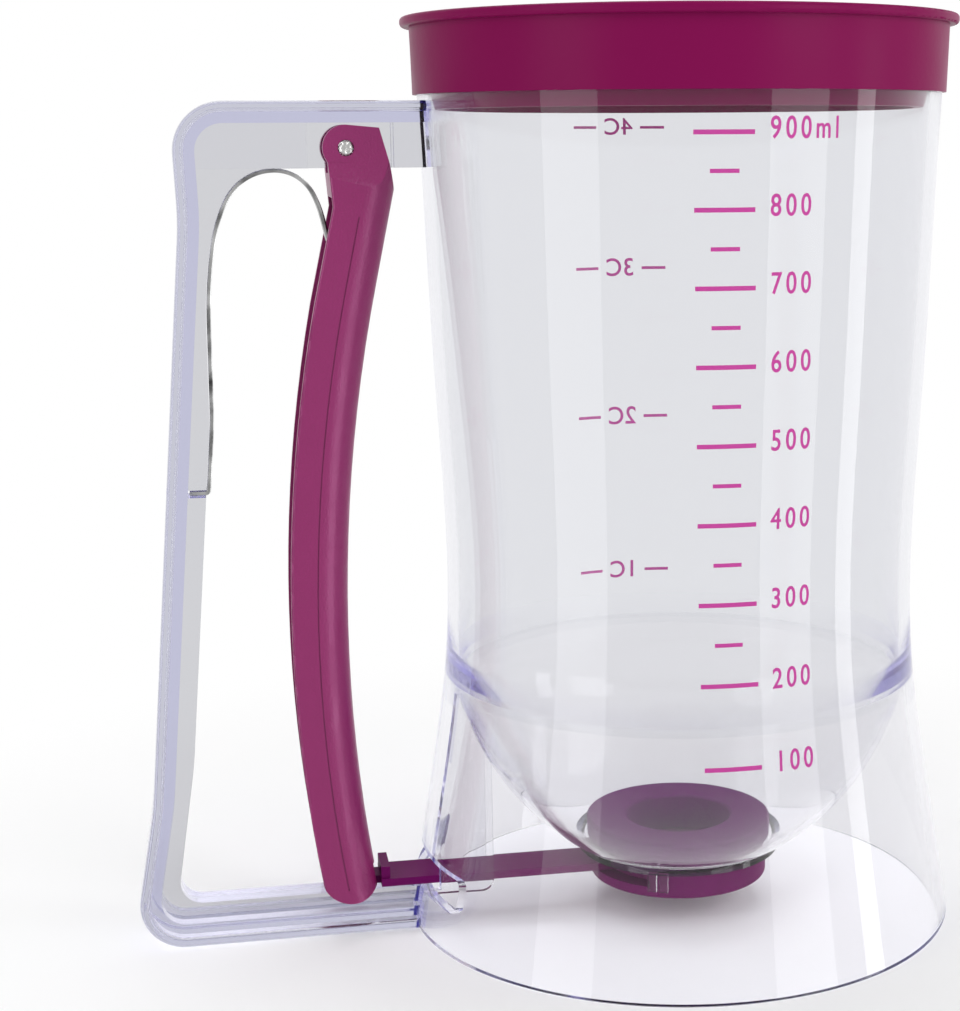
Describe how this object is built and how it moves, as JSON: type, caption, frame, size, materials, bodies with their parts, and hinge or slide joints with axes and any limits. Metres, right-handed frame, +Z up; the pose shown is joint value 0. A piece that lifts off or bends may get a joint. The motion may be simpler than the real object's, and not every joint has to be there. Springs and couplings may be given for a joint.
{
  "type": "batter dispenser",
  "caption": "Clear handled jug with a flared skirt, lift-off lid, funnel base and a slide gate that a sprung squeeze trigger in the handle pulls open to portion batter.",
  "frame": {"origin": "centre of the base rim, on the jug's axis", "axes": "+Z up along the jug's axis, the handle along -X, +Y across the handle"},
  "size_m": [0.1688, 0.1138, 0.1833],
  "materials": {
    "clear_plastic": "clear, polished",
    "lid_plastic": "semi-gloss",
    "trigger_plastic": "fine satin texture",
    "valve_plastic": "semi-gloss",
    "seal_rubber": "soft matt",
    "spring_steel": "bright rolled strip",
    "pin_steel": "cut end"
  },
  "bodies": {
    "jug": {"jug_barrel": "clear_plastic", "jug_skirt": "clear_plastic", "jug_funnel": "clear_plastic", "jug_handle": "clear_plastic", "pivot_pin": "pin_steel", "leaf_spring": "spring_steel", "valve_housing": "valve_plastic", "outlet_seal": "seal_rubber"},
    "trigger": {"trigger": "trigger_plastic"},
    "gate": {"gate_slide": "valve_plastic"},
    "lid": {"lid": "lid_plastic"}
  },
  "joints": [
    {"name": "trigger_squeeze", "type": "hinge", "parent": "jug", "child": "trigger", "pos_m": [-0.0666, 0, 0.1584], "axis": [0, 1, 0], "range_deg": [0, 9], "stiffness_Nm_per_rad": 2, "springref_deg": -6.88, "deforming": ["leaf_spring"]},
    {"name": "gate_pull", "type": "slide", "parent": "jug", "child": "gate", "axis": [-1, 0, 0], "range_m": [0, 0.0232]},
    {"name": "lid_lift", "type": "slide", "parent": "jug", "child": "lid", "axis": [0, 0, 1], "range_m": [0, 0.05]}
  ],
  "couplings": [
    {"joint": "gate_pull", "follows": "trigger_squeeze", "m_per_rad": 0.1464}
  ]
}
